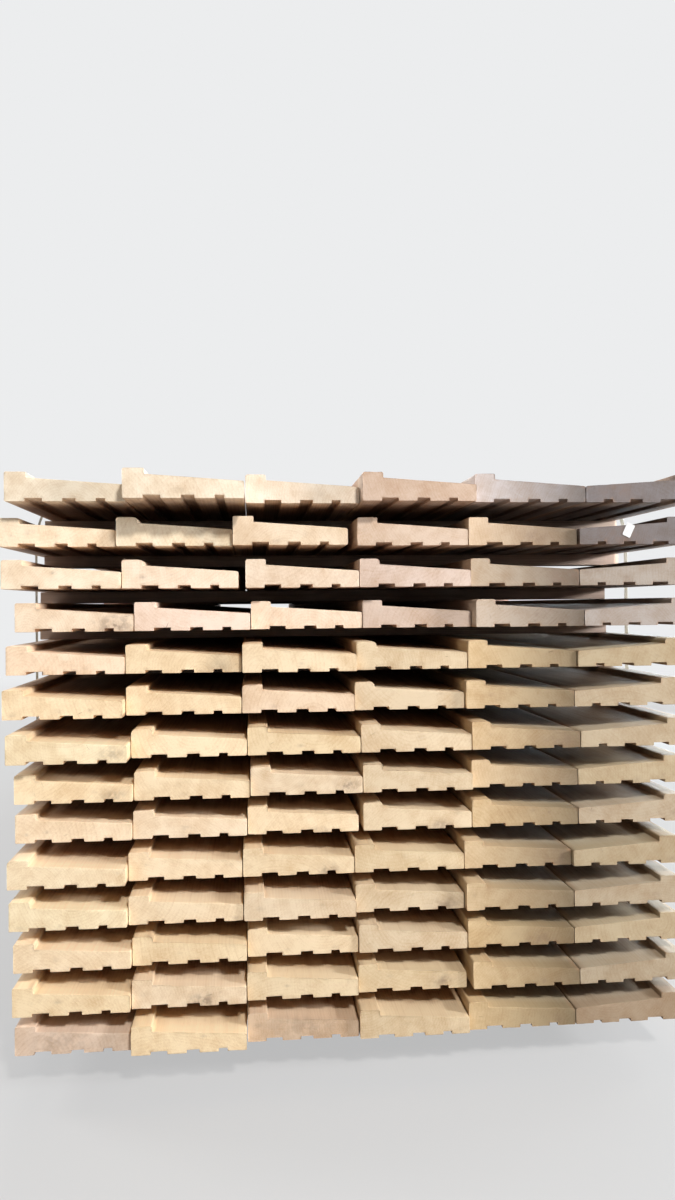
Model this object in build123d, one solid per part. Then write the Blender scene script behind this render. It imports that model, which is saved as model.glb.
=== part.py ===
from build123d import *
import os

# A stickered pack of moulded hardwood sill boards on four bearers, held by two plastic straps.
# Millimetres. X runs across the pack, Y along the boards away from the near end, Z up.
# The origin is the middle of the pack's footprint, on the floor.

# Board section, seen from the near end with the lip at the left
board_width = 180.0
board_length = 3000.0
lip_height = 45.0
lip_width = 32.0
slope_start_height = 36.0
nose_height = 26.0
groove_widths = [26.0, 20.0, 14.0]
groove_depth = 5.0
lip_outer_radius = 3.0
arris_chamfer = 1.5

# The pack
columns = 6
layers = 14
board_gap = 1.5

# Stickers between the layers, and the bearers under the pack
sticker_width = 45.0
sticker_thickness = 21.4
sticker_overhang = 30.0
stations = 4
station_from_end = 325.0
bearer_width = 75.0
bearer_height = 75.0
bearer_overhang = 11.0
strap_channel_width = 26.0
strap_channel_depth = 4.0

# Straps round the end stations, each closed by a crimped sleeve
strap_width = 16.0
strap_thickness = 0.9
strap_bend_height = 90.0
seal_length = 28.0
seal_wall = 0.8
seal_side_clearance = 0.3
seal_crimp_width = 3.0
seal_crimp_depth = 0.7

# Blank tag on the end of one board
tag_width = 14.0
tag_height = 22.0
tag_thickness = 0.8
tag_tilt = 25.0
tag_layer = 13
tag_column = 6
tag_across = 82.0
tag_centre_height = 23.0

# How far each layer's left edge stands off the pack's, bottom layer first
layer_shift = [-3, -3, -2, -7, -8, 0, 5, 1, -7, -6, 8, -10, -19, 1]
# Wider gaps between two boards: (layer, column on their left): extra width
wide_gaps = {(2, 4): 8, (6, 3): 7, (12, 2): 10, (13, 3): 16}
# How far each layer's near end stands back, bottom layer first
layer_setback = [45, 45, 50, 35, 45, 50, 30, 20, 25, 15, 15, 10, 15, -15]
# Boards that stand forward or back of their layer: (layer, column): distance back
board_setback = {
    (14, 2): -45, (14, 3): 20, (14, 4): -15,
    (13, 1): 10, (13, 3): -20, (13, 6): -10,
    (12, 1): -5, (12, 5): 5, (12, 6): 5,
    (11, 3): 30, (11, 4): 30,
    (10, 3): -20, (10, 6): -5,
    (9, 1): -30, (9, 4): 10,
    (8, 1): -40,
    (7, 1): -15, (7, 2): -10, (7, 5): 15, (7, 6): 15,
    (6, 1): -10, (6, 2): -5,
    (5, 1): -25, (5, 6): -10,
    (4, 1): -10, (4, 3): -5, (4, 4): 15,
    (3, 1): -20, (3, 2): -10, (3, 3): 5,
    (2, 1): -20, (2, 2): -10, (2, 4): 10,
    (1, 1): -5, (1, 2): -25, (1, 4): -10,
}
# How far each sticker's ends stop short of the longest ones', and how far back it stands from its
# station, lowest level first; each further station starts its count a few levels on
sticker_left_short = [12, 0, 14, 18, 5, 15, 18, 0, 13, 11, 11, 20, 20]
sticker_right_short = [16, 18, 16, 0, 21, 23, 0, 24, 35, 51, 51, 26, 26]
sticker_wander = [0, 4, -3, 6, -6, 2, -4, 5, 0, -2, 3, -5, 2]
station_step = 4

# Sizes that follow
pack_width = columns * board_width + (columns - 1) * board_gap
layer_pitch = lip_height + sticker_thickness
pack_top = bearer_height + layers * lip_height + (layers - 1) * sticker_thickness


def setback(layer, column):
    """How far back one board's near end stands."""
    return layer_setback[(layer - 1) % len(layer_setback)] + board_setback.get((layer, column), 0)


setbacks = [setback(layer, column) for layer in range(1, layers + 1) for column in range(1, columns + 1)]
setback_middle = (min(setbacks) + max(setbacks)) / 2
station_reach = board_length / 2 - station_from_end
station_places = [
    -station_reach + station * 2 * station_reach / (stations - 1) - setback_middle for station in range(stations)
]
sticker_reach = pack_width / 2 + sticker_overhang
bearer_length = pack_width + 2 * bearer_overhang


def board_left(layer, column):
    """Left edge of one board, with the layer's shift and any wider gap before it."""
    extra = sum(
        width for (gap_layer, gap_column), width in wide_gaps.items()
        if gap_layer == layer and gap_column < column
    )
    shift = layer_shift[(layer - 1) % len(layer_shift)]
    return -pack_width / 2 + shift + extra + (column - 1) * (board_width + board_gap)


def layer_bottom(layer):
    """Height of one layer's underside."""
    return bearer_height + (layer - 1) * layer_pitch


def board_near_end(layer, column):
    """Y of one board's near end."""
    return -board_length / 2 + setback(layer, column) - setback_middle


def board_section():
    """Section of one board in the XZ plane, its lower left corner at the origin."""
    outline = Polyline(
        (0, 0),
        (0, lip_height),
        (lip_width, lip_height),
        (lip_width, slope_start_height),
        (board_width, nose_height),
        (board_width, 0),
        close=True,
    )
    section = make_face(outline)
    lip_outer_corner = section.vertices().group_by(Axis.Y)[-1].sort_by(Axis.X)[0]
    section = fillet(lip_outer_corner, lip_outer_radius)
    section = chamfer(sharp_corners(section), arris_chamfer)
    land = (board_width - sum(groove_widths)) / (len(groove_widths) + 1)
    left = land
    for width in groove_widths:
        section -= Pos(left + width / 2, groove_depth / 2) * Rectangle(width, groove_depth)
        left += width + land
    return section


def sharp_corners(section):
    """The lip's inner corner, the nose and the two bottom corners."""
    wanted = [(lip_width, lip_height), (board_width, nose_height), (board_width, 0), (0, 0)]
    return [section.vertices().sort_by_distance(place)[0] for place in wanted]


def make_board():
    """One board along Y, its near lower left corner at the origin."""
    upright = Plane(origin=(0, 0, 0), x_dir=(1, 0, 0), z_dir=(0, -1, 0))
    return extrude(upright * board_section(), amount=-board_length)


def make_layer(board, turned_board, layer):
    """All boards of one layer; the last column is turned round, so the pack ends in a lip both sides."""
    boards = []
    for column in range(1, columns + 1):
        piece = turned_board if column == columns else board
        place = Pos(board_left(layer, column), board_near_end(layer, column), layer_bottom(layer))
        boards.append(place * piece)
    return Compound(children=boards)


def make_station_stickers(station):
    """The stickers of one station, one in each gap between layers, resting on the lips."""
    stickers = []
    for level in range(1, layers):
        entry = level - 1 + station * station_step
        left = -sticker_reach + sticker_left_short[entry % len(sticker_left_short)]
        right = sticker_reach - sticker_right_short[entry % len(sticker_right_short)]
        back = station_places[station] + sticker_wander[entry % len(sticker_wander)]
        height = layer_bottom(level) + lip_height + sticker_thickness / 2
        place = Pos((left + right) / 2, back, height)
        stickers.append(place * Box(right - left, sticker_width, sticker_thickness))
    return Compound(children=stickers)


def make_bearer(station):
    """One bearer, with a channel along its underside for the strap."""
    bearer = Box(bearer_length, bearer_width, bearer_height)
    channel = Box(bearer_length, strap_channel_width, strap_channel_depth)
    bearer -= Pos(0, 0, (strap_channel_depth - bearer_height) / 2) * channel
    return Pos(0, station_places[station], bearer_height / 2) * bearer


def strap_side(side, top_corner):
    """One side of a strap's inner face: up from the bearer's corner, past the longest stickers, to a lip."""
    bottom_corner = (side * bearer_length / 2, strap_channel_depth)
    straight_bottom = (side * sticker_reach, strap_channel_depth + strap_bend_height)
    straight_top = (side * sticker_reach, pack_top - strap_bend_height)
    return [
        TangentArc(straight_bottom, bottom_corner, tangent=(0, -1)),
        Line(straight_bottom, straight_top),
        TangentArc(straight_top, top_corner, tangent=(0, 1)),
    ]


def make_strap(station):
    """A strap right round the pack: along the bearer's channel, up past the stickers and over the lips."""
    top_left = (board_left(layers, 1), pack_top)
    top_right = (board_left(layers, columns) + board_width, pack_top)
    under = Line((-bearer_length / 2, strap_channel_depth), (bearer_length / 2, strap_channel_depth))
    over = Line(top_left, top_right)
    inside = make_face([under, over] + strap_side(-1, top_left) + strap_side(1, top_right))
    loop = offset(inside, amount=strap_thickness, kind=Kind.ARC) - inside
    upright = Plane(origin=(0, 0, 0), x_dir=(1, 0, 0), z_dir=(0, -1, 0))
    band = extrude(upright * loop, amount=strap_width / 2, both=True)
    return Pos(0, station_places[station], 0) * band


def make_seal(station):
    """The crimped sleeve that closes a strap, on the pack's top between two lips."""
    sleeve_width = strap_width + 2 * (seal_side_clearance + seal_wall)
    sleeve_height = strap_thickness + 2 * seal_wall
    sleeve = Box(seal_length, sleeve_width, sleeve_height)
    sleeve -= Box(seal_length, strap_width + 2 * seal_side_clearance, strap_thickness)
    for side in (-1, 1):
        for place in (-seal_length / 4, seal_length / 4):
            notch = Cylinder(seal_crimp_width / 2, sleeve_height)
            notch_centre = sleeve_width / 2 + seal_crimp_width / 2 - seal_crimp_depth
            sleeve -= Pos(place, side * notch_centre, 0) * notch
    middle_column = columns // 2
    gap_centre = board_left(layers, middle_column) + (lip_width + board_width) / 2
    return Pos(gap_centre, station_places[station], pack_top + strap_thickness / 2) * sleeve


def make_tag():
    """A blank tag, flat on the near end of one board and tilted."""
    tag = Rot(0, tag_tilt, 0) * Box(tag_width, tag_thickness, tag_height)
    across = board_left(tag_layer, tag_column) + tag_across
    out = board_near_end(tag_layer, tag_column) - tag_thickness / 2
    return Pos(across, out, layer_bottom(tag_layer) + tag_centre_height) * tag


os.makedirs("parts", exist_ok=True)
plain_board = make_board()
turned = Pos(board_width, 0, 0) * mirror(plain_board, about=Plane.YZ)
for layer in range(1, layers + 1):
    export_step(make_layer(plain_board, turned, layer), f"parts/board_layer_{layer:02d}.step")
for station in range(stations):
    export_step(make_station_stickers(station), f"parts/stickers_station_{station + 1}.step")
    export_step(make_bearer(station), f"parts/bearer_{station + 1}.step")
for number, station in enumerate((0, stations - 1), start=1):
    export_step(make_strap(station), f"parts/strap_{number}.step")
    export_step(make_seal(station), f"parts/strap_seal_{number}.step")
export_step(make_tag(), "parts/end_tag.step")
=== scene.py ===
"""Looks of a stickered pack of moulded hardwood boards: its boards, stickers, bearers, straps and tag."""
import math

import bpy
import numpy as np
from mathutils import Matrix, Vector
from mathutils.geometry import delaunay_2d_cdt


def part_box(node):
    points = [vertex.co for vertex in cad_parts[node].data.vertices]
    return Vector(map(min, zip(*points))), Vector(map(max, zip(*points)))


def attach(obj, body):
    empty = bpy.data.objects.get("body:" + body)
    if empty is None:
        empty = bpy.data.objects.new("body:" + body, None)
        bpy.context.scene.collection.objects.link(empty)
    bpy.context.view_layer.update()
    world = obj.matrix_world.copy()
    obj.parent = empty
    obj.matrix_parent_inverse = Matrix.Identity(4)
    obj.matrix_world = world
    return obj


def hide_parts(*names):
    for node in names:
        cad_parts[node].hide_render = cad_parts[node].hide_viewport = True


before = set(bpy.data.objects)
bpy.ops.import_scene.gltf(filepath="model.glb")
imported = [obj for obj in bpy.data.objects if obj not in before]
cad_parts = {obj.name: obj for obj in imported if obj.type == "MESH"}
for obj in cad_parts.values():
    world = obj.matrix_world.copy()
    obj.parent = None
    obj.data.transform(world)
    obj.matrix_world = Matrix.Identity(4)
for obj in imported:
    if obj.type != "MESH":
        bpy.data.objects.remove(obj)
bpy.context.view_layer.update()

MM = 0.001
LAYERS = 14
STATIONS = 4
COLUMNS = 6

# Board section in millimetres, seen from the near end with the lip at the left
BOARD_WIDTH = 180.0
LIP_HEIGHT = 45.0
LIP_WIDTH = 32.0
SLOPE_START_HEIGHT = 36.0
NOSE_HEIGHT = 26.0
GROOVE_WIDTHS = (26.0, 20.0, 14.0)
GROOVE_DEPTH = 5.0
LIP_OUTER_RADIUS = 3.0

BEARER_SIDE = 75.0
CHANNEL_WIDTH = 26.0
CHANNEL_DEPTH = 4.0
STRAP_WIDTH = 16.0
STRAP_THICKNESS = 0.9
STRAP_BEND_HEIGHT = 90.0
TAG_WIDTH = 14.0
TAG_HEIGHT = 22.0
TAG_TILT = 25.0

# Steps on one rounded corner, and the widest rounding that the lip has room for
ROUNDING = 3
LARGEST_RADIUS = 6.4
# Outlines close to each end of a piece, by their distance from it
END_PLACES = (0.0, 1.0, 6.0, 20.0, 50.0, 100.0)
# Where the even ones between them start, and how far short of the far end they stop
EVEN_FROM = 200.0
EVEN_SHORT = 150.0
# How far a chip in the rim can reach along the piece
LONGEST_CHIP = 5.0
# The growth rings that the wood's shader draws, before each piece's own scale
RING_SPACING = 5.0

# Where the random draws of each kind of piece begin
BOARD_SEED = 1000
STICKER_SEED = 5000
BEARER_SEED = 7000
STRAP_SEED = 9000

# The photograph's view: the eye in metres, the lens in millimetres and the turns in degrees
EYE = (-0.171, -2.9135, 0.777)
LENS = 27.04
TURN = 5.42
PITCH = 0.31
ROLL = 0.53

# Lamps: name: (place, the point it faces, width and height in metres, watts, colour)
LAMPS = {
    "key": ((0.7, -4.7, 3.1), (0.0, -1.5, 0.5), (0.35, 0.35), 138, (1.0, 0.985, 0.96)),
    "behind": ((3.3, 2.5, 1.45), (0.45, -0.9, 0.6), (4.0, 2.0), 180, (0.78, 0.92, 1.0)),
    "low_right": ((3.2, -2.8, 1.4), (0.5, -1.2, 0.6), (0.6, 0.4), 105, (0.98, 0.98, 1.0)),
    "left_side": ((-4.4, 0.6, 3.6), (-0.5, 0.1, 0.5), (1.6, 1.6), 125, (1.0, 0.99, 0.97)),
    "right_side": ((4.4, 0.6, 3.6), (0.5, 0.1, 0.5), (1.6, 1.6), 50, (1.0, 0.99, 0.97)),
    "back": ((-1.2, 5.2, 3.3), (0.0, 1.5, 0.5), (1.4, 1.4), 78, (1.0, 0.99, 0.97)),
    "overhead": ((0.0, 0.3, 5.2), (0.0, 0.0, 0.0), (3.0, 3.0), 64, (1.0, 0.99, 0.98)),
}
WORLD_COLOUR = (0.93, 0.96, 1.0, 1.0)
WORLD_STRENGTH = 0.14


def srgb(red, green, blue):
    """A colour given as it looks on screen, 0 to 255, as the shader needs it."""
    def linear(value):
        value /= 255
        return value / 12.92 if value <= 0.04045 else ((value + 0.055) / 1.055) ** 2.4
    return (linear(red), linear(green), linear(blue), 1.0)


BACKGROUND = srgb(236, 237, 238)


# Camera and light

def set_camera():
    """The photograph's view: just left of the pack's middle, eye above the upper layers."""
    turn = math.radians(TURN)
    pitch = math.radians(PITCH)
    roll = math.radians(ROLL)
    forward = Vector((math.sin(turn) * math.cos(pitch), math.cos(turn) * math.cos(pitch), math.sin(pitch)))
    level_right = Vector((math.cos(turn), -math.sin(turn), 0))
    level_up = level_right.cross(forward)
    up = level_up * math.cos(roll) + level_right * math.sin(roll)
    right = level_right * math.cos(roll) - level_up * math.sin(roll)
    data = bpy.data.cameras.new("camera")
    data.sensor_width = 36.0
    data.lens = LENS
    data.clip_start = 0.02
    data.clip_end = 200.0
    camera = bpy.data.objects.new("camera", data)
    place = Matrix((right, up, -forward)).transposed().to_4x4()
    place.translation = Vector(EYE)
    camera.matrix_world = place
    bpy.context.scene.collection.objects.link(camera)
    bpy.context.scene.camera = camera


def add_light(name, place, target, size, power, colour):
    """A soft lamp, so wide and so high, that faces a point."""
    data = bpy.data.lights.new(name, "AREA")
    data.shape = "RECTANGLE"
    data.size = size[0]
    data.size_y = size[1]
    data.energy = power
    data.color = colour
    lamp = bpy.data.objects.new(name, data)
    lamp.visible_camera = False
    lamp.location = place
    lamp.rotation_euler = (Vector(target) - Vector(place)).to_track_quat("-Z", "Y").to_euler()
    bpy.context.scene.collection.objects.link(lamp)


def seen_ray(tree):
    """One for a ray that the camera sees directly, in a reflection or through glass, and else zero."""
    path = tree.nodes.new("ShaderNodeLightPath")
    seen = path.outputs["Is Camera Ray"]
    for kind in ("Is Glossy Ray", "Is Transmission Ray"):
        either = tree.nodes.new("ShaderNodeMath")
        either.operation = "MAXIMUM"
        tree.links.new(seen, either.inputs[0])
        tree.links.new(path.outputs[kind], either.inputs[1])
        seen = either.outputs[0]
    return seen


def set_world(light_colour, light_strength, shown_colour):
    """Soft light from all round, and a pale background where the camera or a reflection sees it."""
    world = bpy.data.worlds.new("studio")
    bpy.context.scene.world = world
    world.use_nodes = True
    tree = world.node_tree
    tree.nodes.clear()
    mix = tree.nodes.new("ShaderNodeMixShader")
    tree.links.new(seen_ray(tree), mix.inputs[0])
    for socket, colour, strength in ((1, light_colour, light_strength), (2, shown_colour, 1.0)):
        background = tree.nodes.new("ShaderNodeBackground")
        background.inputs["Color"].default_value = colour
        background.inputs["Strength"].default_value = strength
        tree.links.new(background.outputs[0], mix.inputs[socket])
    output = tree.nodes.new("ShaderNodeOutputWorld")
    tree.links.new(mix.outputs[0], output.inputs["Surface"])


# Materials

class Shader:
    """A material's node tree, with one short call for each kind of node."""

    def __init__(self, name):
        self.material = bpy.data.materials.new(name)
        self.material.use_nodes = True
        self.tree = self.material.node_tree
        self.tree.nodes.clear()

    def add(self, kind, inputs, **settings):
        node = self.tree.nodes.new(kind)
        for name, value in settings.items():
            setattr(node, name, value)
        for key, value in inputs.items():
            self.feed(node.inputs[key], value)
        return node

    def feed(self, socket, value):
        if isinstance(value, bpy.types.NodeSocket):
            self.tree.links.new(value, socket)
        else:
            socket.default_value = value

    def attribute(self, name, output="Fac"):
        return self.add("ShaderNodeAttribute", {}, attribute_name=name).outputs[output]

    def math(self, operation, first, second=0.0, third=0.0):
        inputs = {0: first, 1: second, 2: third}
        return self.add("ShaderNodeMath", inputs, operation=operation).outputs[0]

    def times(self, first, second):
        return self.math("MULTIPLY", first, second)

    def plus(self, total, value, weight):
        """A total and a value times its weight."""
        return self.math("MULTIPLY_ADD", value, weight, total)

    def vary(self, total, value, centre, weight):
        """A total and how far a value stands from its centre, times its weight."""
        return self.plus(total, self.math("SUBTRACT", value, centre), weight)

    def vector(self, operation, first, second, third=(0, 0, 0)):
        inputs = {0: first, 1: second, 2: third}
        return self.add("ShaderNodeVectorMath", inputs, operation=operation).outputs["Vector"]

    def length(self, vector):
        return self.add("ShaderNodeVectorMath", {0: vector}, operation="LENGTH").outputs["Value"]

    def parts(self, vector):
        return self.add("ShaderNodeSeparateXYZ", {0: vector}).outputs

    def noise(self, vector, stretch, detail, roughness, output=0):
        inputs = {
            "Vector": self.vector("MULTIPLY", vector, stretch),
            "Scale": 1.0,
            "Detail": detail,
            "Roughness": roughness,
        }
        return self.add("ShaderNodeTexNoise", inputs).outputs[output]

    def band(self, value, low, high, to_low=0.0, to_high=1.0):
        """A smooth step of a value from one level to another."""
        inputs = {0: value, 1: low, 2: high, 3: to_low, 4: to_high}
        return self.add("ShaderNodeMapRange", inputs, interpolation_type="SMOOTHSTEP").outputs[0]

    def mix(self, factor, first, second):
        inputs = {0: factor, 6: first, 7: second}
        return self.add("ShaderNodeMix", inputs, data_type="RGBA", clamp_factor=True).outputs[2]

    def finish(self, colour, roughness, height, depth, **constants):
        """The shader itself. Values that are the same everywhere are set on its own sockets."""
        inputs = {"Base Color": colour, "Roughness": roughness}
        for name, value in constants.items():
            inputs[name.replace("_", " ")] = value
        bump = self.add("ShaderNodeBump", {"Strength": 1.0, "Distance": depth, "Height": height})
        inputs["Normal"] = bump.outputs[0]
        shader = self.add("ShaderNodeBsdfPrincipled", inputs)
        output = self.tree.nodes.new("ShaderNodeOutputMaterial")
        self.tree.links.new(shader.outputs[0], output.inputs["Surface"])
        return self.material


def growth_rings(paint, grain):
    """Rings about the pith that wander a little: their late wood, and each place by angle and radius."""
    wander = paint.noise(grain, (13, 1.3, 13), 2, 0.55, output=1)
    bent = paint.vector("MULTIPLY_ADD", wander, (0.014, 0, 0.014), grain)
    flat = paint.vector("MULTIPLY", bent, (1, 0, 1))
    radius = paint.length(flat)
    ring_count = paint.times(radius, 1 / (RING_SPACING * MM))
    ring = paint.math("FRACT", ring_count)
    rise = paint.band(ring, 0.35, 0.93)
    fall = paint.band(ring, 0.95, 1.0, 1.0, 0.0)
    ring_number = paint.math("FLOOR", ring_count)
    ring_share = paint.add("ShaderNodeTexWhiteNoise", {"W": ring_number}, noise_dimensions="1D").outputs[0]
    ring_depth = paint.plus(0.25, ring_share, 0.75)
    late = paint.times(paint.times(rise, fall), ring_depth)
    parts = paint.parts(flat)
    angle = paint.math("ARCTAN2", parts[2], parts[0])
    polar = paint.add("ShaderNodeCombineXYZ", {0: angle, 1: radius, 2: 0.0}).outputs[0]
    return late, polar


def wood(name, palette, contrast, saw_marks, roughness):
    """Wood that grows round each piece's own pith: rings and rays on the ends, grain along the faces.

    The palette is a light and a dark colour for the ends, for the faces near them and for the faces; the
    faces near the ends are paled wood and also painted light."""
    end_light, end_dark, pale_lit_light, pale_lit_dark, face_light, face_dark = palette
    paint = Shader(name)
    grain = paint.attribute("grain", "Vector")
    end = paint.attribute("end")
    late, polar = growth_rings(paint, grain)

    # Fibres, pores and slow changes of colour
    fibre = paint.noise(grain, (420, 8, 420), 2, 0.6)
    pore = paint.band(paint.noise(grain, (1250, 26, 1250), 1, 0.5), 0.60, 0.70)
    blotch = paint.noise(grain, (11, 0.9, 11), 2, 0.6)
    cloud = paint.noise(grain, (38, 5, 38), 2, 0.6)

    # Rays, checks and the saw's streaks on the ends, and its marks across the faces
    ray = paint.band(paint.noise(polar, (70, 14, 1), 2, 0.6), 0.50, 0.72)
    check = paint.band(paint.noise(polar, (60, 22, 1), 1, 0.4), 0.785, 0.81)
    check = paint.times(check, end)
    cut = {"Vector": grain, "Angle": paint.attribute("cut")}
    turned = paint.add("ShaderNodeVectorRotate", cut, rotation_type="Y_AXIS").outputs[0]
    streak = paint.noise(turned, (520, 0, 16), 2, 0.65)
    saw = paint.noise(grain, (14, saw_marks, 14), 1, 0.5)

    # How dark the wood is, on the ends and on the faces
    darkness = paint.vary(0.16, fibre, 0.5, 0.55)
    darkness = paint.vary(darkness, blotch, 0.45, 0.9)
    darkness = paint.vary(darkness, cloud, 0.5, 1.1)
    darkness = paint.plus(darkness, pore, 0.22)
    darkness = paint.times(darkness, contrast)
    end_darkness = paint.vary(darkness, streak, 0.5, 0.45)
    end_darkness = paint.plus(end_darkness, late, 0.17)
    end_darkness = paint.plus(end_darkness, ray, -0.10)
    face_darkness = paint.vary(darkness, blotch, 0.45, 0.8 * contrast)
    face_darkness = paint.plus(face_darkness, late, 0.36)

    # Faces are paler, unevenly, near the ends: paled wood and also painted light where the lit strip falls.
    # Each piece has its own tint, which also carries painted light and painted shade
    end_colour = paint.mix(end_darkness, end_light, end_dark)
    face_colour = paint.mix(face_darkness, face_light, face_dark)
    pale_lit_colour = paint.mix(paint.times(face_darkness, 0.5), pale_lit_light, pale_lit_dark)
    uneven = paint.vary(paint.attribute("bleached"), paint.noise(grain, (36, 20, 36), 2, 0.6), 0.5, 0.9)
    face_colour = paint.mix(paint.band(uneven, 0.05, 0.85), face_colour, pale_lit_colour)
    colour = paint.mix(end, face_colour, end_colour)
    colour = paint.vector("MULTIPLY", colour, paint.attribute("tint", "Vector"))

    # Checks, dirt and rubbed corners
    colour = paint.mix(paint.times(check, 0.6), colour, srgb(92, 64, 46))
    grime = paint.band(paint.noise(grain, (70, 6, 70), 2, 0.65), 0.36, 0.62)
    grime = paint.times(paint.attribute("smudge"), paint.plus(0.3, grime, 0.7))
    colour = paint.mix(grime, colour, srgb(121, 98, 84))
    rub = paint.band(paint.noise(grain, (60, 9, 60), 2, 0.6), 0.42, 0.68)
    rub = paint.times(paint.times(rub, paint.attribute("edge")), 0.35)
    colour = paint.mix(rub, colour, face_dark)

    # Relief and gloss
    height = paint.plus(paint.times(late, 0.25), fibre, 0.5)
    height = paint.plus(height, pore, -0.5)
    face_height = paint.plus(height, saw, 0.8)
    end_height = paint.plus(height, streak, 0.7)
    end_height = paint.plus(end_height, check, -3.0)
    lift = paint.math("SUBTRACT", end_height, face_height)
    height = paint.plus(face_height, lift, end)
    rough = paint.plus(roughness, fibre, 0.16)
    rough = paint.plus(rough, end, 0.25)
    return paint.finish(colour, rough, height, 0.00022, Specular_IOR_Level=0.3)


def strap_plastic():
    """Pale green packing strap with a fine raised lattice and a little dust."""
    paint = Shader("strap_plastic")
    run = paint.attribute("grain", "Vector")
    parts = paint.parts(run)
    along = paint.times(parts[0], 2600)
    one = paint.math("SINE", paint.plus(along, parts[1], 3400))
    other = paint.math("SINE", paint.plus(along, parts[1], -3400))
    lattice = paint.math("MAXIMUM", one, other)
    dust = paint.noise(run, (40, 160, 1), 4, 0.65)
    colour = paint.mix(paint.band(lattice, -0.2, 0.9), srgb(186, 195, 190), srgb(212, 221, 216))
    colour = paint.mix(paint.band(dust, 0.45, 0.75, 0.0, 0.5), colour, srgb(180, 178, 165))
    rough = paint.band(dust, 0.3, 0.7, 0.32, 0.55)
    glow = {"Subsurface_Weight": 0.5, "Subsurface_Radius": (1.0, 1.0, 1.0), "Subsurface_Scale": 0.004}
    return paint.finish(colour, rough, lattice, 0.00006, Specular_IOR_Level=0.45, **glow)


def seal_metal():
    """Galvanised steel with a soft spangle, slightly dulled."""
    paint = Shader("seal_metal")
    place = paint.add("ShaderNodeTexCoord", {}).outputs["Object"]
    spangle = paint.add("ShaderNodeTexVoronoi", {"Vector": place, "Scale": 420.0}).outputs["Color"]
    spangle = paint.add("ShaderNodeSeparateColor", {0: spangle}).outputs[0]
    dull = paint.noise(place, (260, 260, 260), 4, 0.6)
    colour = paint.mix(spangle, srgb(168, 172, 174), srgb(205, 208, 210))
    colour = paint.mix(paint.band(dull, 0.5, 0.75, 0.0, 0.6), colour, srgb(128, 122, 114))
    rough = paint.plus(0.22, dull, 0.35)
    return paint.finish(colour, rough, dull, 0.00005, Metallic=0.9)


def tag_plastic():
    """White tag, faintly creased and soiled."""
    paint = Shader("tag_plastic")
    place = paint.attribute("grain", "Vector")
    crease = paint.noise(place, (90, 90, 240), 4, 0.6)
    soil = paint.noise(place, (200, 200, 200), 4, 0.65)
    colour = paint.mix(paint.band(soil, 0.45, 0.75, 0.0, 0.5), srgb(216, 217, 216), srgb(176, 170, 162))
    return paint.finish(colour, 0.5, crease, 0.0004, Specular_IOR_Level=0.4)


def floor_paint():
    """A plain pale floor that keeps the shadow and fades into the background further off."""
    paint = Shader("floor_paint")
    place = paint.add("ShaderNodeTexCoord", {}).outputs["Object"]
    share = paint.band(paint.length(place), 1.6, 8.0, 0.58, 1.0)
    share = paint.times(share, seen_ray(paint.tree))
    diffuse = paint.add("ShaderNodeBsdfDiffuse", {"Color": srgb(176, 175, 174)}).outputs[0]
    glow = paint.add("ShaderNodeEmission", {"Color": BACKGROUND, "Strength": 1.0}).outputs[0]
    mixed = paint.add("ShaderNodeMixShader", {0: share, 1: diffuse, 2: glow}).outputs[0]
    paint.add("ShaderNodeOutputMaterial", {"Surface": mixed})
    return paint.material


# Outlines and caps

def waves(rng, places, lengths):
    """Smooth random wandering between about -1 and 1 along one or more axes of places, (n, axes)."""
    places = np.atleast_2d(np.asarray(places, float).T).T
    total = np.zeros(len(places))
    for length in lengths:
        for _ in range(2):
            direction = rng.normal(size=places.shape[1])
            direction /= np.linalg.norm(direction)
            total += np.sin(places @ direction * 2 * math.pi / length + rng.uniform(0, 2 * math.pi))
    return total / (2 * math.sqrt(len(lengths)))


def outline_rows(corners, radii, spacing):
    """Rounded outlines, one for each row of radii, and which of their points are on a corner."""
    before = np.roll(corners, 1, axis=0) - corners
    after = np.roll(corners, -1, axis=0) - corners
    run_lengths = np.linalg.norm(after, axis=1)
    before = before / np.linalg.norm(before, axis=1)[:, None]
    after = after / run_lengths[:, None]
    inside = np.arccos((before * after).sum(1))
    bisector = before + after
    bisector /= np.linalg.norm(bisector, axis=1)[:, None]
    centres = corners + bisector * (radii / np.sin(inside / 2))[..., None]
    tangent = (radii / np.tan(inside / 2))[..., None]
    first = corners + before * tangent - centres
    last = corners + after * tangent - centres
    points = []
    on_corner = []
    for corner in range(len(corners)):
        turn = math.pi - inside[corner]
        for step in range(ROUNDING + 1):
            share = step / ROUNDING
            mixed = math.sin((1 - share) * turn) * first[:, corner]
            mixed += math.sin(share * turn) * last[:, corner]
            points.append(centres[:, corner] + mixed / math.sin(turn))
            on_corner.append(1.0)
        start = points[-1]
        following = (corner + 1) % len(corners)
        stop = centres[:, following] + first[:, following]
        splits = int(run_lengths[corner] / spacing)
        for split in range(1, splits + 1):
            points.append(start + (stop - start) * split / (splits + 1))
            on_corner.append(0.0)
    return np.stack(points, axis=1), np.array(on_corner)


def inward(outline, amount):
    """An outline moved in from its edge by an amount for each point."""
    ahead = np.roll(outline, -1, axis=0) - outline
    ahead /= np.linalg.norm(ahead, axis=1)[:, None]
    behind = np.roll(ahead, 1, axis=0)
    along = ahead + behind
    along /= np.linalg.norm(along, axis=1)[:, None]
    return outline + np.stack([-along[:, 1], along[:, 0]], axis=1) * amount[:, None]


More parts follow.
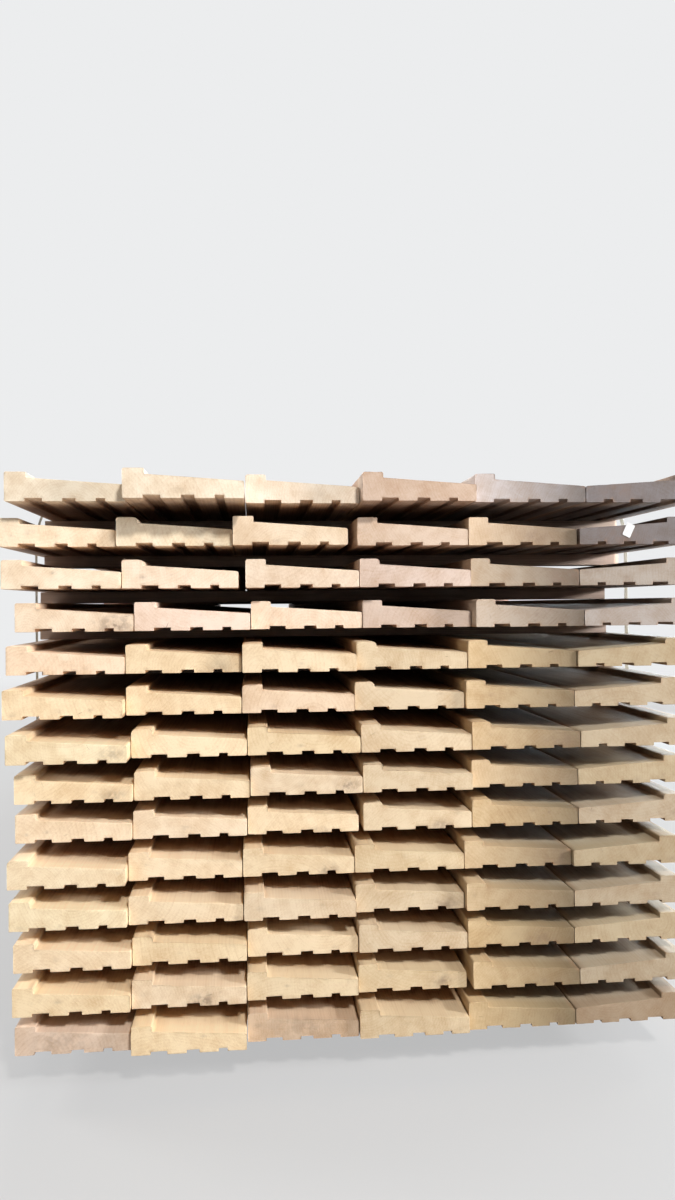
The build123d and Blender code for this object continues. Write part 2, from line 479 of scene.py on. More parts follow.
def inside_points(outline, spacing, margin):
    """Points of a staggered grid inside an outline, clear of its edge."""
    row_share = 0.87
    smallest = 1e-9
    low = outline.min(0)
    high = outline.max(0)
    rows = np.arange(low[1] + spacing / 2, high[1], spacing * row_share)
    across = np.arange(low[0] + spacing / 2, high[0], spacing)
    grid = np.array([(x + (row % 2) * spacing / 2, z) for row, z in enumerate(rows) for x in across])
    start = outline
    stop = np.roll(outline, -1, axis=0)
    edge = stop - start
    offset = grid[:, None, :] - start[None]
    share = np.clip((offset * edge).sum(2) / (edge * edge).sum(1), 0, 1)
    gap = np.linalg.norm(offset - share[..., None] * edge, axis=2).min(1)
    crosses = (start[None, :, 1] > grid[:, None, 1]) != (stop[None, :, 1] > grid[:, None, 1])
    steepness = np.where(np.abs(edge[:, 1]) < smallest, smallest, edge[:, 1])
    meets = start[None, :, 0] + (grid[:, None, 1] - start[None, :, 1]) * edge[:, 0] / steepness
    within = (crosses & (grid[:, None, 0] < meets)).sum(1) % 2 == 1
    return grid[within & (gap > margin)]


def cap_faces(outline, inner):
    """Triangles that fill an outline through its inner points, counter-clockwise."""
    points = [Vector(place) for place in np.vstack([outline, inner])]
    border = list(range(len(outline)))
    result = delaunay_2d_cdt(points, [], [border], 1, 1e-6)
    origin = [sources[0] for sources in result[3]]
    faces = []
    for face in result[2]:
        ring = [origin[index] for index in face]
        first, second, third = (points[index] for index in ring[:3])
        if (second - first).cross(third - first) < 0:
            ring.reverse()
        faces.append(ring)
    return faces


# Sawn pieces

def ring_places(length, step):
    """Where the outlines of a piece stand along it: close together near its ends, and evenly between."""
    middle = list(np.arange(EVEN_FROM, length - EVEN_SHORT, step))
    return np.array(list(END_PLACES) + middle + [length - place for place in reversed(END_PLACES)])


def worn_rings(corners, radii, places, rng, look):
    """A piece's worn outlines along it, with chipped rims, and which of their points are on a corner."""
    wear = np.stack([1 + look["wear"] * waves(rng, places, (900, 210, 70)) for _ in corners], axis=1)
    worn = np.minimum(radii * np.clip(wear, 0.75, 1.4), LARGEST_RADIUS)
    rows, on_corner = outline_rows(corners, worn, look["spacing"])
    path = np.cumsum(np.linalg.norm(rows[0] - np.roll(rows[0], 1, axis=0), axis=1))
    last = len(places) - 1
    rings = []
    for index, place in enumerate(places):
        along = np.full(len(on_corner), place)
        section = rows[index]
        chip = np.clip(waves(rng, path, (61, 23)) - 0.45, 0, 1) * look["chips"]
        chipped = np.minimum(look["rim"] + chip * 4, LONGEST_CHIP)
        if index in (0, last):
            section = inward(section, look["rim"] * (1 + 0.2 * waves(rng, path, (47, 19))))
        elif index == 1:
            along = chipped
        elif index == last - 1:
            along = places[last] - chipped
        rings.append(np.stack([section[:, 0], along, section[:, 1]], axis=1))
    return np.array(rings), on_corner


def ring_faces(rings, count):
    """Faces between neighbours of so many rings, with so many points on each."""
    base = np.arange(rings - 1)[:, None] * count
    this = np.arange(count)[None]
    following = (this + 1) % count
    quads = np.stack([base + this, base + count + this, base + count + following, base + following], axis=2)
    return quads.reshape(-1, 4).tolist()


def uneven_ends(points, on_end, length, rng, look):
    """Cuts a piece's ends a little off square and uneven, always inside the sawn length."""
    for direction, place in ((1, 0.0), (-1, length)):
        chosen = on_end & (np.abs(points[:, 1] - place) < 0.5)
        flat = points[chosen][:, (0, 2)]
        slope = rng.uniform(-1, 1, 2) * look["skew"] / flat.max(0)
        sink = (flat - flat.mean(0)) @ slope
        sink += look["relief"] * waves(rng, flat, (70, 31, 13))
        points[chosen, 1] += direction * (sink - sink.min())


def stick(corners, radii, length, rng, look):
    """A sawn piece along Y from y = 0: points in millimetres, faces, and values for each point.

    look gives the spacing of its points and how it is worn: corners, rim, chips, relief and skew."""
    places = ring_places(length, look["section_step"])
    rings, on_corner = worn_rings(corners, radii, places, rng, look)
    count = len(on_corner)
    faces = ring_faces(len(places), count)
    total = len(places) * count
    points = [rings.reshape(-1, 3)]
    end_value = [np.zeros(total)]
    end_value[0][:count] = 1
    end_value[0][-count:] = 1
    edge_value = [np.tile(on_corner, len(places))]
    for ring, place in ((0, 0.0), (len(places) - 1, length)):
        outline = rings[ring][:, (0, 2)]
        inner = inside_points(outline, look["cap_spacing"], look["cap_spacing"] * 0.4)
        numbers = [*range(ring * count, (ring + 1) * count), *range(total, total + len(inner))]
        for triangle in cap_faces(outline, inner):
            face = [numbers[index] for index in triangle]
            faces.append(face if ring == 0 else face[::-1])
        points.append(np.stack([inner[:, 0], np.full(len(inner), place), inner[:, 1]], axis=1))
        end_value.append(np.ones(len(inner)))
        edge_value.append(np.zeros(len(inner)))
        total += len(inner)
    points = np.concatenate(points)
    values = {"end": np.concatenate(end_value), "edge": np.concatenate(edge_value)}
    uneven_ends(points, values["end"] > 0.5, length, rng, look)
    return points, faces, values


def grain_places(points, rng, size, spread, ring_spacing):
    """Where each point lies about the piece's own pith, with the pith at a slight slope to its length."""
    angle = rng.uniform(0, 2 * math.pi)
    distance = rng.uniform(*spread)
    centre = np.array([size[0] / 2 + distance * math.cos(angle), size[1] / 2 + distance * math.sin(angle)])
    slope = rng.normal(0, 0.006, 2)
    scale = RING_SPACING / ring_spacing
    across = (points[:, 0] - centre[0] + points[:, 1] * slope[0]) * scale
    up = (points[:, 2] - centre[1] + points[:, 1] * slope[1]) * scale
    along = points[:, 1] + rng.uniform(0, 40000)
    return np.stack([across, along, up], axis=1) * MM


def end_distance(points, length):
    """How far each point is from the piece's nearer end."""
    return np.minimum(points[:, 1], length - points[:, 1])


def paling_and_light(points, length):
    """How pale a piece is near its ends, paled wood and also painted light, from 1 at its ends to 0 some
    110 mm in.
    """
    return np.clip(1.25 - end_distance(points, length) / 90, 0, 1)


# Pieces in the scene

def make_object(name, points, faces, values, material):
    """A mesh object with its point values, smooth except at its edges."""
    mesh = bpy.data.meshes.new(name)
    mesh.from_pydata(points.tolist(), [], faces)
    mesh.update()
    for key, value in values.items():
        if value.ndim == 2:
            attribute = mesh.attributes.new(key, "FLOAT_VECTOR", "POINT")
            attribute.data.foreach_set("vector", value.astype(np.float32).ravel())
        else:
            attribute = mesh.attributes.new(key, "FLOAT", "POINT")
            attribute.data.foreach_set("value", value.astype(np.float32))
    mesh.polygons.foreach_set("use_smooth", np.ones(len(mesh.polygons), bool))
    mesh.set_sharp_from_angle(angle=math.radians(36))
    mesh.materials.append(material)
    made = bpy.data.objects.new(name, mesh)
    bpy.context.scene.collection.objects.link(made)
    return made


def join(parts):
    """Points, faces and values of several pieces as one."""
    faces = []
    start = 0
    for points, piece_faces, _ in parts:
        faces += [[index + start for index in face] for face in piece_faces]
        start += len(points)
    points = np.concatenate([part[0] for part in parts])
    values = {key: np.concatenate([part[2][key] for part in parts]) for key in parts[0][2]}
    return points, faces, values


def stands_for(made, node):
    """A made piece rides on the pack and stands for its node, which is hidden."""
    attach(made, "root")
    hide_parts(node)


def in_mm(box):
    """A box's low and high corners, in millimetres."""
    low, high = box
    return np.array(low) / MM, np.array(high) / MM


def solids_of(node):
    """The box of each separate solid of a node, in millimetres: (low corners, high corners)."""
    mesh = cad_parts[node].data
    places = np.zeros(len(mesh.vertices) * 3)
    mesh.vertices.foreach_get("co", places)
    places = places.reshape(-1, 3)
    ends = np.zeros(len(mesh.edges) * 2, int)
    mesh.edges.foreach_get("vertices", ends)
    _, weld = np.unique(np.round(places, 6), axis=0, return_inverse=True)
    weld = weld.ravel()
    ends = weld[ends.reshape(-1, 2)]
    label = np.arange(weld.max() + 1)
    while True:
        low = np.minimum(label[ends[:, 0]], label[ends[:, 1]])
        fresh = label.copy()
        np.minimum.at(fresh, ends[:, 0], low)
        np.minimum.at(fresh, ends[:, 1], low)
        if (fresh == label).all():
            break
        label = fresh
    group = label[weld]
    solids = [places[group == number] / MM for number in np.unique(group)]
    return np.array([solid.min(0) for solid in solids]), np.array([solid.max(0) for solid in solids])


# Boards

BOARD_LOOK = {
    "section_step": 130.0, "spacing": 11.0, "wear": 0.25, "rim": 0.4, "chips": 0.8,
    "cap_spacing": 4.2, "relief": 0.16, "skew": 0.9,
}
# Rounding of the lip's inner corner where it is more than an arris: (layer, column): millimetres
ROUNDED_LIPS = {
    (13, 2): 6, (12, 2): 7, (10, 4): 7, (9, 4): 7, (8, 5): 7, (7, 5): 6, (6, 4): 6, (12, 4): 5,
    (11, 3): 4, (5, 3): 4, (3, 2): 5, (10, 6): 5, (4, 5): 4, (6, 6): 5, (2, 5): 4,
}
# Outer lip corners worn rounder
ROUNDED_OUTER_LIPS = {(8, 2): 7, (5, 1): 7, (9, 3): 5, (3, 3): 5, (11, 5): 5}
# Grey smudges on near ends: (layer, column): (across, up, size, strength)
SMUDGES = {
    (11, 1): (150, 10, 26, 0.75),
    (8, 1): (158, 14, 20, 0.4),
    (7, 1): (150, 9, 20, 0.5),
    (7, 3): (156, 14, 17, 0.7),
    (6, 3): (119, 3, 11, 0.6),
    (6, 4): (128, 5, 15, 0.6),
    (5, 3): (137, 6, 17, 0.65),
    (4, 4): (150, 8, 22, 0.55),
    (2, 2): (112, 7, 20, 0.8),
    (2, 4): (142, 12, 22, 0.6),
    (1, 1): (70, 16, 46, 0.35),
    (1, 3): (90, 18, 60, 0.3),
    (3, 5): (120, 10, 26, 0.4),
    (10, 2): (140, 6, 18, 0.45),
    (14, 6): (52, 22, 34, 0.5),
    (13, 6): (70, 12, 38, 0.4),
    (12, 5): (156, 16, 40, 0.55),
    (13, 5): (110, 14, 22, 0.4),
    (8, 5): (150, 14, 34, 0.4),
    (5, 5): (160, 12, 30, 0.4),
}
# Painted light on the near ends, column by column, against the boards' colour: brightest at the left,
# falling to painted shade at the two right columns
COLUMN_END_LIGHT = np.array([
    (1.12, 1.12, 1.12), (1.05, 1.05, 1.05), (0.95, 0.95, 0.95), (0.80, 0.80, 0.80),
    (0.50, 0.47, 0.42), (0.50, 0.50, 0.50),
])
# Near ends given their own tone: each tone, against the column's, and its (layer, column). The grey,
# silvery and dulled tones on the upper right are painted cool shade and painted glare
END_TONES = {
    "deep_cool_shade": ((0.42, 0.46, 0.59), [(14, 6), (13, 6)]),
    "cool_glare": ((0.92, 1.07, 1.45), [(14, 5)]),
    "mild_cool_shade": ((0.83, 0.88, 0.98), [(12, 5), (11, 5), (12, 6), (11, 6)]),
    "browned": ((0.83, 0.77, 0.76), [(14, 4), (1, 3), (1, 6)]),
    "pinkish": ((0.94, 0.91, 0.95), [(13, 4), (12, 4), (11, 4), (11, 2), (10, 1), (9, 3)]),
    "pale": ((1.03, 1.09, 1.13), [(14, 1), (14, 2), (14, 3), (13, 2)]),
    "yellowed": ((0.96, 0.94, 0.86), [(8, 3), (2, 4)]),
    "dusty": ((0.86, 0.84, 0.96), [(1, 1)]),
}
DEEP_COOL_SHADED = END_TONES["deep_cool_shade"][1]
BRIGHTEST_END = 1.12
PINKISH_WOOD = np.array([0.99, 0.97, 1.04])
YELLOWISH_WOOD = np.array([1.0, 0.95, 0.82])
# The upper layers, whose wood is pinker, and the columns at the right, given painted cool light: greyer
# faces and a cooler painted shade inside the pack
PINKISH_FROM = 11
COOL_SHADED_FROM = 5


def board_corners():
    """The board section's corners, counter-clockwise from the lower left, and how far each is rounded."""
    land = (BOARD_WIDTH - sum(GROOVE_WIDTHS)) / (len(GROOVE_WIDTHS) + 1)
    corners = [(0, 0)]
    radii = [1.6]
    left = land
    for width in GROOVE_WIDTHS:
        corners += [(left, 0), (left, GROOVE_DEPTH), (left + width, GROOVE_DEPTH), (left + width, 0)]
        radii += [0.9, 1.0, 1.0, 0.9]
        left += width + land
    corners += [
        (BOARD_WIDTH, 0),
        (BOARD_WIDTH, NOSE_HEIGHT),
        (LIP_WIDTH, SLOPE_START_HEIGHT),
        (LIP_WIDTH, LIP_HEIGHT),
        (0, LIP_HEIGHT),
    ]
    radii += [1.6, 2.6, 1.6, 1.8, LIP_OUTER_RADIUS]
    return np.array(corners, float), np.array(radii, float)


def board_outline(layer, column, rng):
    """The corners and roundings of one board. The last column is turned round, its lip at the right."""
    corners, radii = board_corners()
    radii[-2] = ROUNDED_LIPS.get((layer, column), radii[-2] + rng.uniform(0, 1.2))
    radii[-1] = ROUNDED_OUTER_LIPS.get((layer, column), radii[-1])
    if column == COLUMNS:
        corners = np.stack([BOARD_WIDTH - corners[::-1, 0], corners[::-1, 1]], axis=1)
        radii = radii[::-1]
    return corners, radii


def board_tints(layer, column, rng):
    """A board's colour against the palette's, along it and at its near end, where painted light and shade
    are added.
    """
    share = np.clip(rng.normal(0.2 if layer >= PINKISH_FROM else 0.8, 0.15), 0, 1)
    tint = (PINKISH_WOOD * (1 - share) + YELLOWISH_WOOD * share) * rng.normal(1.0, 0.035)
    # The near end takes its column's painted light or painted shade
    near_tint = tint * COLUMN_END_LIGHT[column - 1]
    for tone, boards in END_TONES.values():
        if (layer, column) in boards:
            near_tint = near_tint * tone
    # Painted cool light: the faces of the right columns are greyer
    if column >= COOL_SHADED_FROM:
        tint = tint * (0.80, 0.82, 0.86)
    # The two upper ends in the deepest painted cool shade also carry a mild grey all along the board
    if (layer, column) in DEEP_COOL_SHADED:
        tint = tint * (0.88, 0.90, 0.94)
    return tint, np.minimum(near_tint, BRIGHTEST_END)


def board_colour(points, length, layer, column, rng):
    """The tint of each point of a board: its near end's at first, then its own, with painted shade inside
    the pack.
    """
    tint, near_tint = board_tints(layer, column, rng)
    # The deepest painted cool shade keeps close to its end
    reach, blend = (32, 28) if (layer, column) in DEEP_COOL_SHADED else (100, 80)
    near_share = np.clip((reach - points[:, 1:2]) / blend, 0, 1)

    # Painted shade: the ends of the column before the last darken towards the nose
    if column == COLUMNS - 1:
        fall = 1.15 if layer >= PINKISH_FROM else 1.05
        near_tint = near_tint * (1.02 + fall * (0.5 - points[:, :1] / BOARD_WIDTH))
    colour = tint + (near_tint - tint) * near_share

    # Painted shade: tops and undersides inside the pack are darker beyond the strip that light reaches,
    # undersides darker still
    inside = np.clip((end_distance(points, length) - 30) / 40, 0, 1)
    inside[(points[:, 0] < 3) | (points[:, 0] > BOARD_WIDTH - 3)] = 0
    underneath = points[:, 2] < NOSE_HEIGHT / 2
    if layer == LAYERS:
        inside[~underneath] = 0
    painted_shade = (0.25, 0.16, 0.05) if column >= COOL_SHADED_FROM else (0.25, 0.28, 0.28)
    colour *= 1 - inside[:, None] * painted_shade
    colour *= 1 - (inside * underneath)[:, None] * (0.12, 0.12, 0.08)
    return colour


def board_paling_and_light(points, length, layer, column):
    """How pale a board is near its ends, paled wood and also painted light: less on its underside, and less
    at an end in painted cool shade.
    """
    bleached = paling_and_light(points, length) * np.where(points[:, 2] <= GROOVE_DEPTH + 1, 0.3, 1.0)
    if (layer, column) in DEEP_COOL_SHADED:
        bleached[points[:, 1] < length / 2] *= 0.3
    return bleached


def board_smudges(points, layer, column, rng):
    """Dirt on a board's near end: its plain mark, if it has one, and one to three small ones."""
    marks = [SMUDGES[layer, column]] if (layer, column) in SMUDGES else []
    for _ in range(rng.integers(1, 4)):
        marks.append((rng.uniform(10, 170), rng.uniform(2, 26), rng.uniform(3, 8), rng.uniform(0.1, 0.4)))
    smudge = np.zeros(len(points))
    for across, up, spread, strength in marks:
        gap = ((points[:, 0] - across) / spread) ** 2 + ((points[:, 2] - up) / (spread * 0.55)) ** 2
        gap += (points[:, 1] / 18) ** 2
        smudge = np.maximum(smudge, strength * np.exp(-gap))
    return smudge


def make_board(layer, column, length):
    """One board of the pack in its own millimetres, worn, coloured and soiled in its own way."""
    rng = np.random.default_rng(BOARD_SEED + layer * 10 + column)
    corners, radii = board_outline(layer, column, rng)
    size = (BOARD_WIDTH, LIP_HEIGHT)
    points, faces, values = stick(corners, radii, length, rng, BOARD_LOOK)
    values["grain"] = grain_places(points, rng, size, (35, 190), rng.uniform(3.6, 6.5))
    values["tint"] = board_colour(points, length, layer, column, rng)
    values["bleached"] = board_paling_and_light(points, length, layer, column)
    values["cut"] = np.full(len(points), rng.uniform(-1.0, 1.0))
    values["smudge"] = board_smudges(points, layer, column, rng)

    # The board's crook, within the gap to its neighbours
    points[:, 0] += 0.45 * rng.uniform(-1, 1) * np.sin(points[:, 1] / length * math.pi)
    return points, faces, values


def make_layer(layer, material):
    """The boards of one layer, column by column from the left, each where the frame has it."""
    node = f"board_layer_{layer:02d}"
    lows, highs = solids_of(node)
    parts = []
    for column, index in enumerate(np.argsort(lows[:, 0]), start=1):
        length = highs[index][1] - lows[index][1]
        points, faces, values = make_board(layer, column, length)
        parts.append(((points + lows[index]) * MM, faces, values))
    made = make_object(f"layer_{layer:02d}_boards", *join(parts), material)
    stands_for(made, node)


# Stickers and bearers

STICKER_LOOK = {
    "section_step": 70.0, "spacing": 12.0, "wear": 0.5, "rim": 0.5, "chips": 1.6,
    "cap_spacing": 3.6, "relief": 0.3, "skew": 1.6, "tone_spread": 0.07,
}
BEARER_LOOK = {
    "section_step": 60.0, "spacing": 10.0, "wear": 0.5, "rim": 0.55, "chips": 2.0,
    "cap_spacing": 3.6, "relief": 0.35, "skew": 2.0, "tone_spread": 0.05,
}
STICKER_RADIUS = 1.3
BEARER_RING_SPACING = 4.5


def rectangle(width, height):
    """The corners of a rectangle, counter-clockwise from the lower left."""
    return np.array([(0, 0), (width, 0), (width, height), (0, height)], float)


def crosswise(part, low, high):
    """Turns a piece made along Y to lie along X between the corners of its box, in metres."""
    points, faces, values = part
    points = np.stack([low[0] + points[:, 1], high[1] - points[:, 0], low[2] + points[:, 2]], axis=1)
    return points * MM, faces, values


def batten(low, high, corners, radii, look, rng, ring_spacing):
    """One crosswise piece of rough-sawn wood that fills its box."""
    length = high[0] - low[0]
    points, faces, values = stick(corners, radii, length, rng, look)
    size = (high[1] - low[1], high[2] - low[2])
    values["grain"] = grain_places(points, rng, size, (10, 90), ring_spacing)
    values["bleached"] = paling_and_light(points, length)
    values["cut"] = np.full(len(points), rng.uniform(-0.3, 0.3))
    tint = np.array([1.0, 0.97, 0.95]) + rng.normal(0, 0.02, 3)
    values["tint"] = np.tile(tint * rng.normal(1.0, look["tone_spread"]), (len(points), 1))
    values["smudge"] = 0.55 * np.clip(waves(rng, points, (420, 130, 60)) - 0.35, 0, 1)
    return crosswise((points, faces, values), low, high)


def make_stickers(station, material):
    """The stickers of one station, each rough-sawn and a little different."""
    node = f"stickers_station_{station}"
    lows, highs = solids_of(node)
    parts = []
    for number, index in enumerate(np.argsort(lows[:, 2])):
        low = lows[index]
        high = highs[index]
        rng = np.random.default_rng(STICKER_SEED + station * 100 + number)
        corners = rectangle(high[1] - low[1], high[2] - low[2])
        radii = np.full(4, STICKER_RADIUS)
        parts.append(batten(low, high, corners, radii, STICKER_LOOK, rng, rng.uniform(3, 6)))
    made = make_object(f"station_{station}_stickers", *join(parts), material)
    stands_for(made, node)


def make_bearer(station, material):
    """One squared bearer with the strap's channel along its underside."""
    node = f"bearer_{station}"
    low, high = in_mm(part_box(node))
    rng = np.random.default_rng(BEARER_SEED + station)
    side = BEARER_SIDE
    left = (side - CHANNEL_WIDTH) / 2
    right = left + CHANNEL_WIDTH
    channel = [(left, 0), (left, CHANNEL_DEPTH), (right, CHANNEL_DEPTH), (right, 0)]
    corners = np.array([(0, 0), *channel, (side, 0), (side, side), (0, side)], float)
    radii = np.array([3.0, 1.3, 1.2, 1.2, 1.3, 3.0, 2.6, 2.6])
    part = batten(low, high, corners, radii, BEARER_LOOK, rng, BEARER_RING_SPACING)
    made = make_object(f"bearer_{station}_sawn", *part, material)
    stands_for(made, node)


# Straps

# Steps along each run of a strap's path
FLAT_STEPS = 12
UPRIGHT_STEPS = 16
BEND_STEPS = 8
# Its corners are rounded, but a turn of fewer degrees than the slight one stays
CORNER_STEPS = 5
CORNER_RADIUS = 3.2
SLIGHT_TURN = 25.0
# The loose end starts inside the seal, and is a little narrower and thinner than the loop
TAIL_LENGTH = 58.0
TAIL_STEPS = 8
TAIL_IN_SEAL = 6.0
TAIL_WIDTH = STRAP_WIDTH - 0.6
TAIL_THICKNESS = 0.6
TAIL_RISE = 0.35


def between(start, stop, steps):
    """Evenly spaced points of a straight run, without its ends."""
    start = np.array(start)
    run = np.array(stop) - start
    return [start + run * step / steps for step in range(1, steps)]


def bend(straight, tip):
    """Points of the arc that leaves an upright run at straight and ends at tip."""
    across = tip[0] - straight[0]
    up = tip[1] - straight[1]
    radius = -(across * across + up * up) / (2 * across)
    centre = np.array([straight[0] - radius, straight[1]])
    stop = math.asin(up / abs(radius))
    angles = [stop * step / BEND_STEPS for step in range(BEND_STEPS + 1)]
    return [centre + (radius * math.cos(angle), abs(radius) * math.sin(angle)) for angle in angles]


def round_off(path, radius):
    """A closed path with its sharp corners turned on a radius."""
    smooth = []
    count = len(path)
    for index in range(count):
        here = np.array(path[index])
        back = np.array(path[index - 1]) - here
        on = np.array(path[(index + 1) % count]) - here
        back_length = np.linalg.norm(back)
        on_length = np.linalg.norm(on)
        back = back / back_length
        on = on / on_length
        inside = math.acos(np.clip(back @ on, -1, 1))
        if math.pi - inside < math.radians(SLIGHT_TURN):
            smooth.append(here)
            continue
        cut = min(radius / math.tan(inside / 2), back_length * 0.45, on_length * 0.45)
        for step in range(CORNER_STEPS + 1):
            share = step / CORNER_STEPS
            first = here + back * cut * (1 - share)
            second = here + on * cut * share
            smooth.append(first * (1 - share) + second * share)
    return np.array(smooth)


def band(path, closed, width, thickness, centre_y, rng):
    """A flat band that follows a path in the XZ plane: points in metres, faces and values."""
    ahead = np.roll(path, -1, axis=0) - path
    if not closed:
        ahead[-1] = ahead[-2]
    steps = np.linalg.norm(ahead, axis=1)
    ahead = ahead / steps[:, None]
    behind = np.roll(ahead, 1, axis=0)
    if not closed:
        behind[0] = ahead[0]
    along = ahead + behind
    along /= np.linalg.norm(along, axis=1)[:, None]
    outward = np.stack([along[:, 1], -along[:, 0]], axis=1)
    run = np.concatenate([[0], np.cumsum(steps)[:-1]])
    drift = 0.5 * waves(rng, run, (1700, 640))

    # The section: its under side from left to right, and the same again turned over
    half = width / 2
    thin = thickness / 2
    arris = 0.25
    level = [(sideways, -thin) for sideways in (arris - half, -half / 2, 0, half / 2, half - arris)]
    under = [(-half, arris - thin)] + level + [(half, arris - thin)]
    section = under + [(-sideways, -off) for sideways, off in under]

    points = []
    grain = []
    for index in range(len(path)):
        for sideways, off in section:
            place = path[index] + outward[index] * off
            points.append((place[0], centre_y + sideways + drift[index], place[1]))
            grain.append((run[index], sideways, 0.0))
    count = len(section)
    faces = []
    for index in range(len(path) if closed else len(path) - 1):
        this = index * count
        following = ((index + 1) % len(path)) * count
        for corner in range(count):
            beside = (corner + 1) % count
            faces.append([this + corner, this + beside, following + beside, following + corner])
    if not closed:
        faces.append(list(reversed(range(count))))
        faces.append([(len(path) - 1) * count + corner for corner in range(count)])
    return np.array(points) * MM, faces, {"grain": np.array(grain) * MM}


def make_strap(number, bearer, material):
    """A strap along its bearer's channel, up past the stickers and over the pack, with its loose end."""
    node = f"strap_{number}"
    low, high = in_mm(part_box(node))
    bearer_low, bearer_high = in_mm(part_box(bearer))
    top_low, top_high = in_mm(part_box(f"board_layer_{LAYERS:02d}"))
    thin = STRAP_THICKNESS / 2
    top = top_high[2] + thin
    bottom_left = (bearer_low[0] - thin, CHANNEL_DEPTH - thin)
    bottom_right = (bearer_high[0] + thin, CHANNEL_DEPTH - thin)
    top_left = (top_low[0] - thin, top)
    top_right = (top_high[0] + thin, top)
    upright_bottom = CHANNEL_DEPTH + STRAP_BEND_HEIGHT
    upright_top = top_high[2] - STRAP_BEND_HEIGHT
    left_bottom = (low[0] + thin, upright_bottom)
    left_top = (low[0] + thin, upright_top)
    right_bottom = (high[0] - thin, upright_bottom)
    right_top = (high[0] - thin, upright_top)
    path = [bottom_left] + between(bottom_left, bottom_right, FLAT_STEPS)
    path += bend(right_bottom, bottom_right)[::-1] + between(right_bottom, right_top, UPRIGHT_STEPS)
    path += bend(right_top, top_right) + between(top_right, top_left, FLAT_STEPS)
    path += bend(left_top, top_left)[::-1] + between(left_top, left_bottom, UPRIGHT_STEPS)
    path += bend(left_bottom, bottom_left)[:-1]
    centre_y = (low[1] + high[1]) / 2
    rng = np.random.default_rng(STRAP_SEED + number)
    loop = band(round_off(path, CORNER_RADIUS), True, STRAP_WIDTH, STRAP_THICKNESS, centre_y, rng)

    # The loose end comes out of the seal and lies on the strap
    _, seal_high = in_mm(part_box(f"strap_seal_{number}"))
    start = (seal_high[0] - TAIL_IN_SEAL, top + thin + TAIL_RISE)
    tip = (start[0] + TAIL_LENGTH, start[1])
    tail_path = np.array([tip] + between(tip, start, TAIL_STEPS) + [start])
    tail = band(tail_path, False, TAIL_WIDTH, TAIL_THICKNESS, centre_y, rng)
    made = make_object(f"strap_{number}_band", *join([loop, tail]), material)
    stands_for(made, node)


def finish_seal(number, material):
    """A seal keeps its solid from the frame, with a metal finish."""
    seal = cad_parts[f"strap_seal_{number}"]
    seal.data.materials.clear()
    seal.data.materials.append(material)


# Tag

SHEET_THICKNESS = 0.35
SHEET_BOW = 0.42
TAG_RADIUS = 1.6
TAG_SPACING = 1.5
TAG_MARGIN = 0.6


def make_tag():
    """The blank tag, a thin sheet with rounded corners that bows a little from the board."""
    low, high = in_mm(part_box("end_tag"))
    tilt = math.radians(TAG_TILT)
    corners = rectangle(TAG_WIDTH, TAG_HEIGHT)
    outline = outline_rows(corners, np.full((1, 4), TAG_RADIUS), TAG_RADIUS)[0][0]
    inner = inside_points(outline, TAG_SPACING, TAG_MARGIN)
    front_faces = cap_faces(outline, inner)
    flat = np.vstack([outline, inner]) - (TAG_WIDTH / 2, TAG_HEIGHT / 2)
    bow = SHEET_BOW * (flat[:, 1] / (TAG_HEIGHT / 2)) ** 2
    centre = (low + high) / 2
    across = centre[0] + flat[:, 0] * math.cos(tilt) + flat[:, 1] * math.sin(tilt)
    up = centre[2] + flat[:, 1] * math.cos(tilt) - flat[:, 0] * math.sin(tilt)
    back = high[1] - bow
    front_points = np.stack([across, back - SHEET_THICKNESS, up], axis=1)
    back_points = np.stack([across, back, up], axis=1)
    count = len(flat)
    rim = len(outline)
    back_faces = [[count + index for index in reversed(face)] for face in front_faces]
    sides = [[index, count + index, count + (index + 1) % rim, (index + 1) % rim] for index in range(rim)]
    grain = np.stack([flat[:, 0], np.zeros(count), flat[:, 1]], axis=1)
    values = {"grain": np.vstack([grain, grain]) * MM}
    points = np.vstack([front_points, back_points]) * MM
    made = make_object("blank_tag", points, front_faces + back_faces + sides, values, tag_plastic())
    stands_for(made, "end_tag")


# Floor

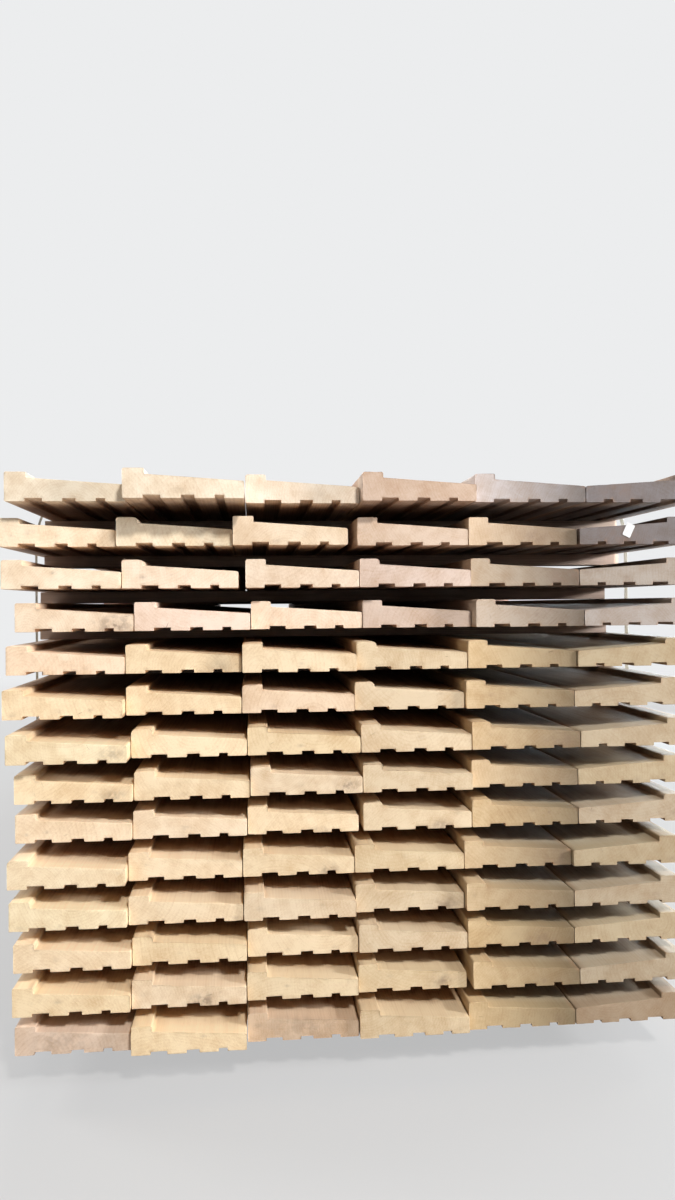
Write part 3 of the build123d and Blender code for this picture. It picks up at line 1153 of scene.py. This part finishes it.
def make_floor():
    """A wide square of floor, part of the studio and not of the object."""
    reach = 30
    corners = [(-reach, -reach, 0), (reach, -reach, 0), (reach, reach, 0), (-reach, reach, 0)]
    mesh = bpy.data.meshes.new("floor")
    mesh.from_pydata(corners, [], [(0, 1, 2, 3)])
    mesh.materials.append(floor_paint())
    floor = bpy.data.objects.new("floor", mesh)
    bpy.context.scene.collection.objects.link(floor)


# Assembly

# A light and a dark colour of each wood's ends, of its faces near them, and of its faces; the colours near
# the ends are paled wood and also painted light on the lit strips and the stickers' lit tips
BOARD_PALETTE = (
    srgb(240, 222, 196), srgb(202, 170, 132),
    srgb(253, 236, 209), srgb(221, 189, 153),
    srgb(214, 182, 150), srgb(158, 120, 90),
)
STICKER_PALETTE = (
    srgb(232, 212, 197), srgb(176, 148, 130),
    srgb(246, 222, 205), srgb(190, 162, 144),
    srgb(218, 196, 181), srgb(160, 134, 118),
)
BEARER_PALETTE = (
    srgb(214, 188, 158), srgb(146, 114, 88),
    srgb(196, 168, 140), srgb(130, 103, 82),
    srgb(184, 156, 129), srgb(120, 95, 76),
)

set_camera()
set_world(WORLD_COLOUR, WORLD_STRENGTH, BACKGROUND)
for lamp_name, lamp in LAMPS.items():
    add_light(lamp_name, *lamp)
make_floor()

board_wood = wood("board_wood", BOARD_PALETTE, contrast=1.0, saw_marks=120, roughness=0.50)
for layer in range(1, LAYERS + 1):
    make_layer(layer, board_wood)

sticker_wood = wood("sticker_wood", STICKER_PALETTE, contrast=1.1, saw_marks=420, roughness=0.62)
bearer_wood = wood("bearer_wood", BEARER_PALETTE, contrast=1.15, saw_marks=300, roughness=0.66)
for station in range(1, STATIONS + 1):
    make_stickers(station, sticker_wood)
    make_bearer(station, bearer_wood)

strap_finish = strap_plastic()
seal_finish = seal_metal()
for number, station in enumerate((1, STATIONS), start=1):
    make_strap(number, f"bearer_{station}", strap_finish)
    finish_seal(number, seal_finish)
make_tag()

bpy.context.scene.view_settings.view_transform = "Standard"

bpy.context.view_layer.update()
